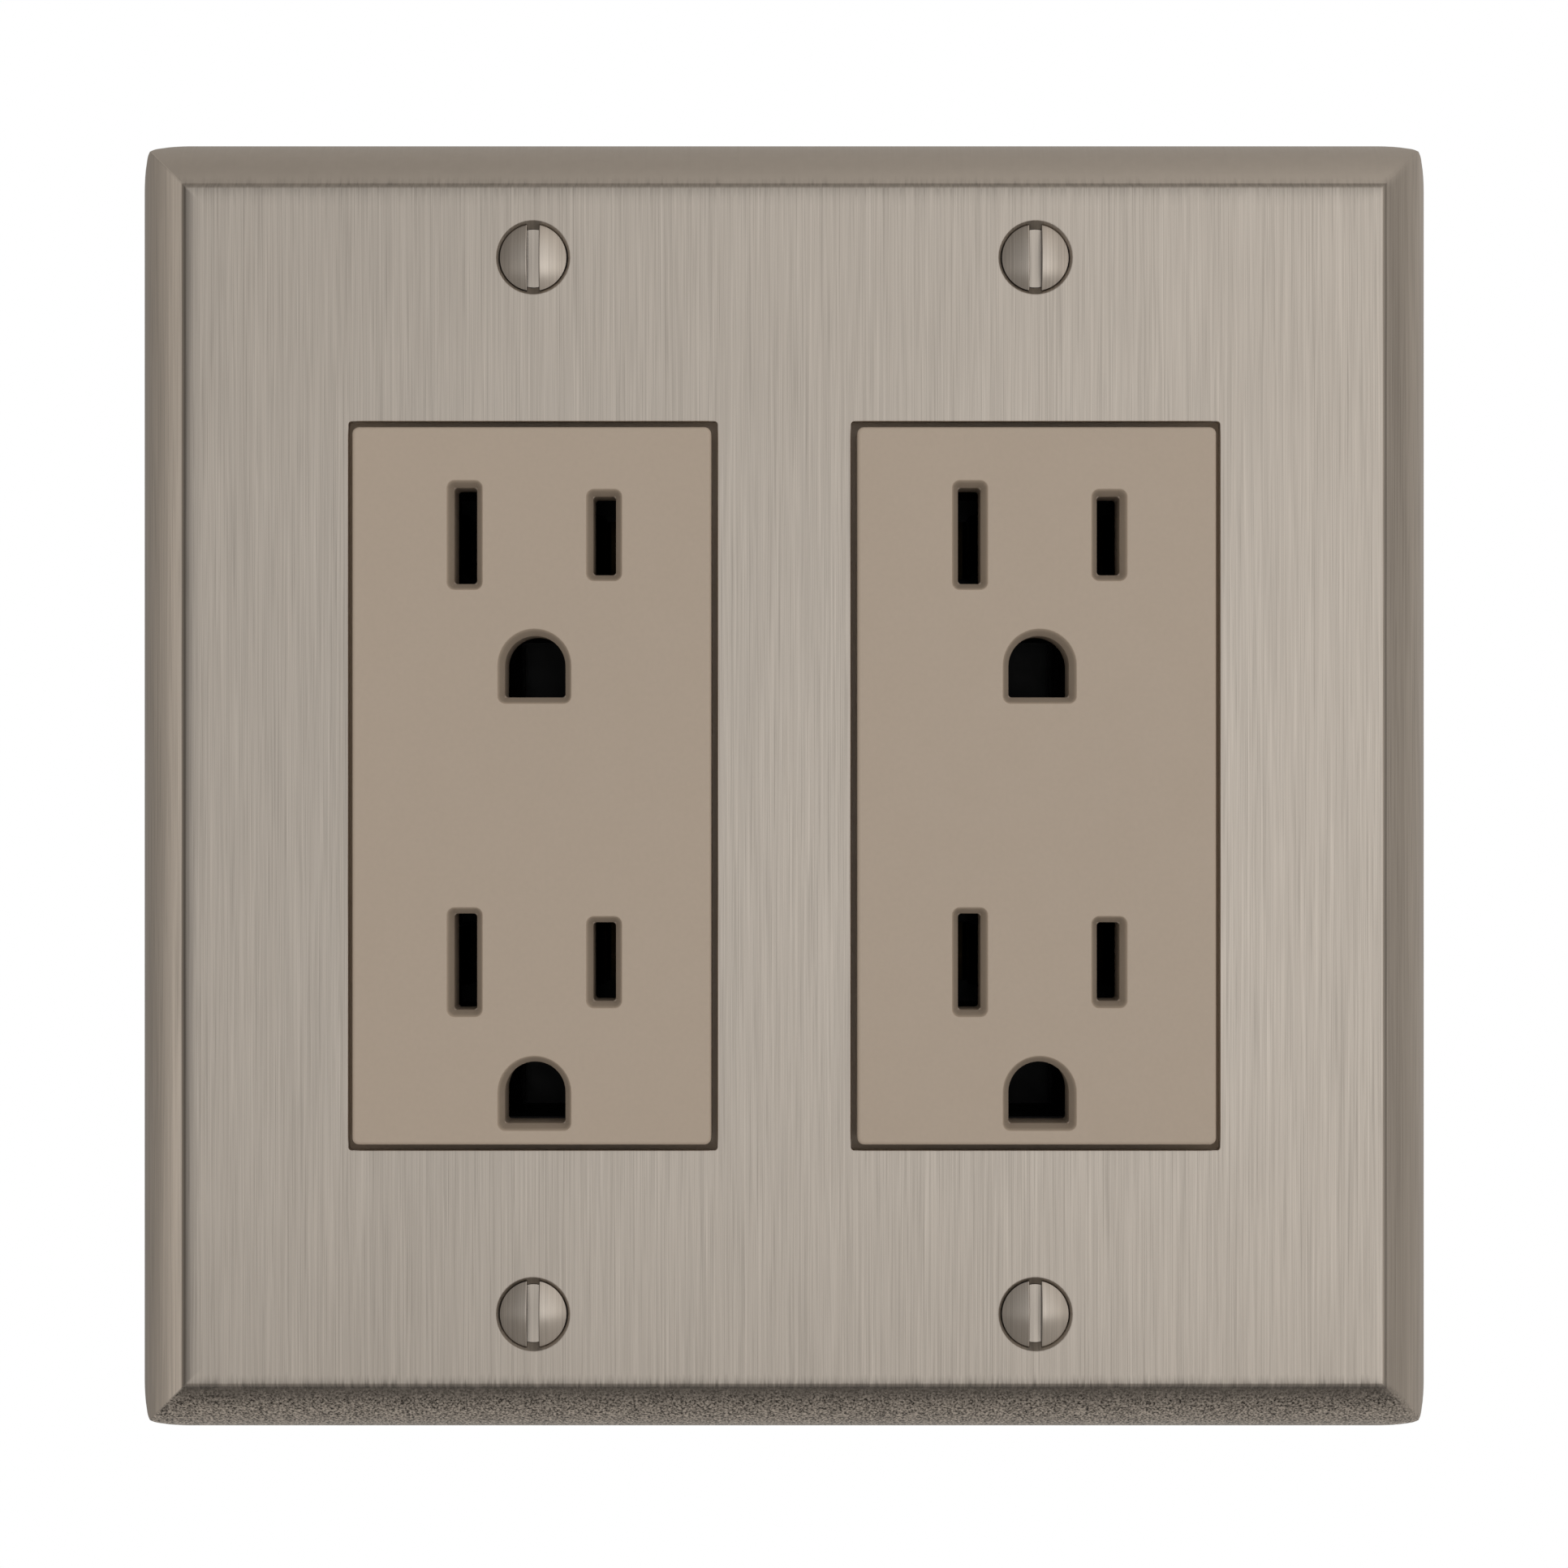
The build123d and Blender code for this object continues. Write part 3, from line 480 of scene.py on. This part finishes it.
def materials_by_slot():
    return {
        "brushed_plate": brushed_metal("brushed_plate", PLATE, 0.34, plate_finish),
        "brushed_screw": brushed_metal("brushed_screw", PLATE, 0.32, head_finish),
        # Painted shade in the receptacles' openings
        "taupe_plastic": moulded_plastic("taupe_plastic", PLASTIC, 0.42, 0.25, 0.5, in_face_opening,
                                         MOUTH_SHADE),
        # Painted shade in the rooms inside the back bodies
        "body_plastic": moulded_plastic("body_plastic", BODY, 0.5, 0.5, 0.3, in_body_room, BODY_ROOM_SHADE),
        "zinc_steel": plated_metal("zinc_steel", ZINC, 0.34),
        "zinc_screw_steel": plated_metal("zinc_screw_steel", ZINC, 0.3),
        "clamp_steel": plated_metal("clamp_steel", ZINC, 0.36),
        "rivet_steel": plated_metal("rivet_steel", ZINC, 0.3),
        # Painted shade: black on the contacts nearest the openings
        "contact_brass": plated_metal("contact_brass", BRASS, 0.32, spangle=0.02, with_painted_shade=True),
        "terminal_brass": plated_metal("terminal_brass", BRASS, 0.26, spangle=0.02),
        "terminal_nickel": plated_metal("terminal_nickel", NICKEL, 0.24, spangle=0.02),
        "terminal_green": plated_metal("terminal_green", GREEN, 0.3, spangle=0.08),
        "fibre": pressed_fibre("fibre", FIBRE),
    }


def dress_cad_nodes():
    made = materials_by_slot()
    for subpart in frame["record"]["subparts"]:
        piece = frame["nodes"][subpart["node"]]
        piece.data.materials.clear()
        piece.data.materials.append(made[subpart["material_slot"]])


# ---- surroundings ----

def make_floor():
    mesh = bpy.data.meshes.new("floor")
    corners = [(-FLOOR_HALF_WIDTH, FLOOR_FRONT, FLOOR_LEVEL), (FLOOR_HALF_WIDTH, FLOOR_FRONT, FLOOR_LEVEL),
               (FLOOR_HALF_WIDTH, FLOOR_BACK, FLOOR_LEVEL), (-FLOOR_HALF_WIDTH, FLOOR_BACK, FLOOR_LEVEL)]
    mesh.from_pydata(corners, [], [(0, 1, 2, 3)])
    floor = bpy.data.objects.new("floor", mesh)
    bpy.context.scene.collection.objects.link(floor)
    mesh.materials.append(floor_paint())


def room_brightness(tree):
    """The soft room round the object: bright in front of the plate and more so on the right, dim
    beside and behind it, and dimmest below. Also gives how far a direction is to the side."""
    x, y, z = (coordinate(tree, axis, "Generated") for axis in "XYZ")
    before = calc(tree, "MULTIPLY", profile(tree, x, ROOM_ACROSS), profile(tree, z, ROOM_UPRIGHT))
    behind = calc(tree, "ADD", calc(tree, "MULTIPLY", x, ROOM_BEHIND_TILT), ROOM_BEHIND)
    behind = calc(tree, "ADD", behind, calc(tree, "MULTIPLY", z, ROOM_BEHIND_RISE))
    strength = blend(tree, remap(tree, y, *ROOM_TURN, 0.0, 1.0), before, behind)
    return strength, remap(tree, y, *WALL_START, 0.0, 1.0)


def make_world():
    """White to the camera, and a soft grey room to everything else."""
    world = bpy.data.worlds.new("studio")
    world.use_nodes = True
    tree = world.node_tree
    tree.nodes.clear()
    backdrop = node(tree, "ShaderNodeBackground", Color=(1, 1, 1, 1), Strength=1.0)
    room = node(tree, "ShaderNodeBackground", Color=(1, 1, 1, 1))
    strength, aside = room_brightness(tree)
    tree.links.new(strength, room.inputs["Strength"])
    warmth = node(tree, "ShaderNodeMix", data_type="RGBA")
    tree.links.new(aside, warmth.inputs["Factor"])
    warmth.inputs["A"].default_value = (1, 1, 1, 1)
    warmth.inputs["B"].default_value = ROOM_WARMTH
    tree.links.new(warmth.outputs["Result"], room.inputs["Color"])
    rays = node(tree, "ShaderNodeLightPath")
    mix = node(tree, "ShaderNodeMixShader")
    out = node(tree, "ShaderNodeOutputWorld")
    tree.links.new(rays.outputs["Is Camera Ray"], mix.inputs["Fac"])
    tree.links.new(room.outputs["Background"], mix.inputs[1])
    tree.links.new(backdrop.outputs["Background"], mix.inputs[2])
    tree.links.new(mix.outputs["Shader"], out.inputs["Surface"])
    bpy.context.scene.world = world


def make_camera():
    data = bpy.data.cameras.new("camera")
    data.sensor_width = SENSOR_WIDTH
    data.lens = SENSOR_WIDTH * CAMERA_DISTANCE / PICTURE_WIDTH
    camera = bpy.data.objects.new("camera", data)
    camera.location = (AIM_X, FACE_Y - CAMERA_DISTANCE, AIM_Z)
    camera.rotation_euler = (pi / 2, 0, 0)
    bpy.context.scene.collection.objects.link(camera)
    bpy.context.scene.camera = camera


dress_cad_nodes()
make_floor()
make_world()
make_camera()
bpy.context.scene.view_settings.view_transform = "Standard"
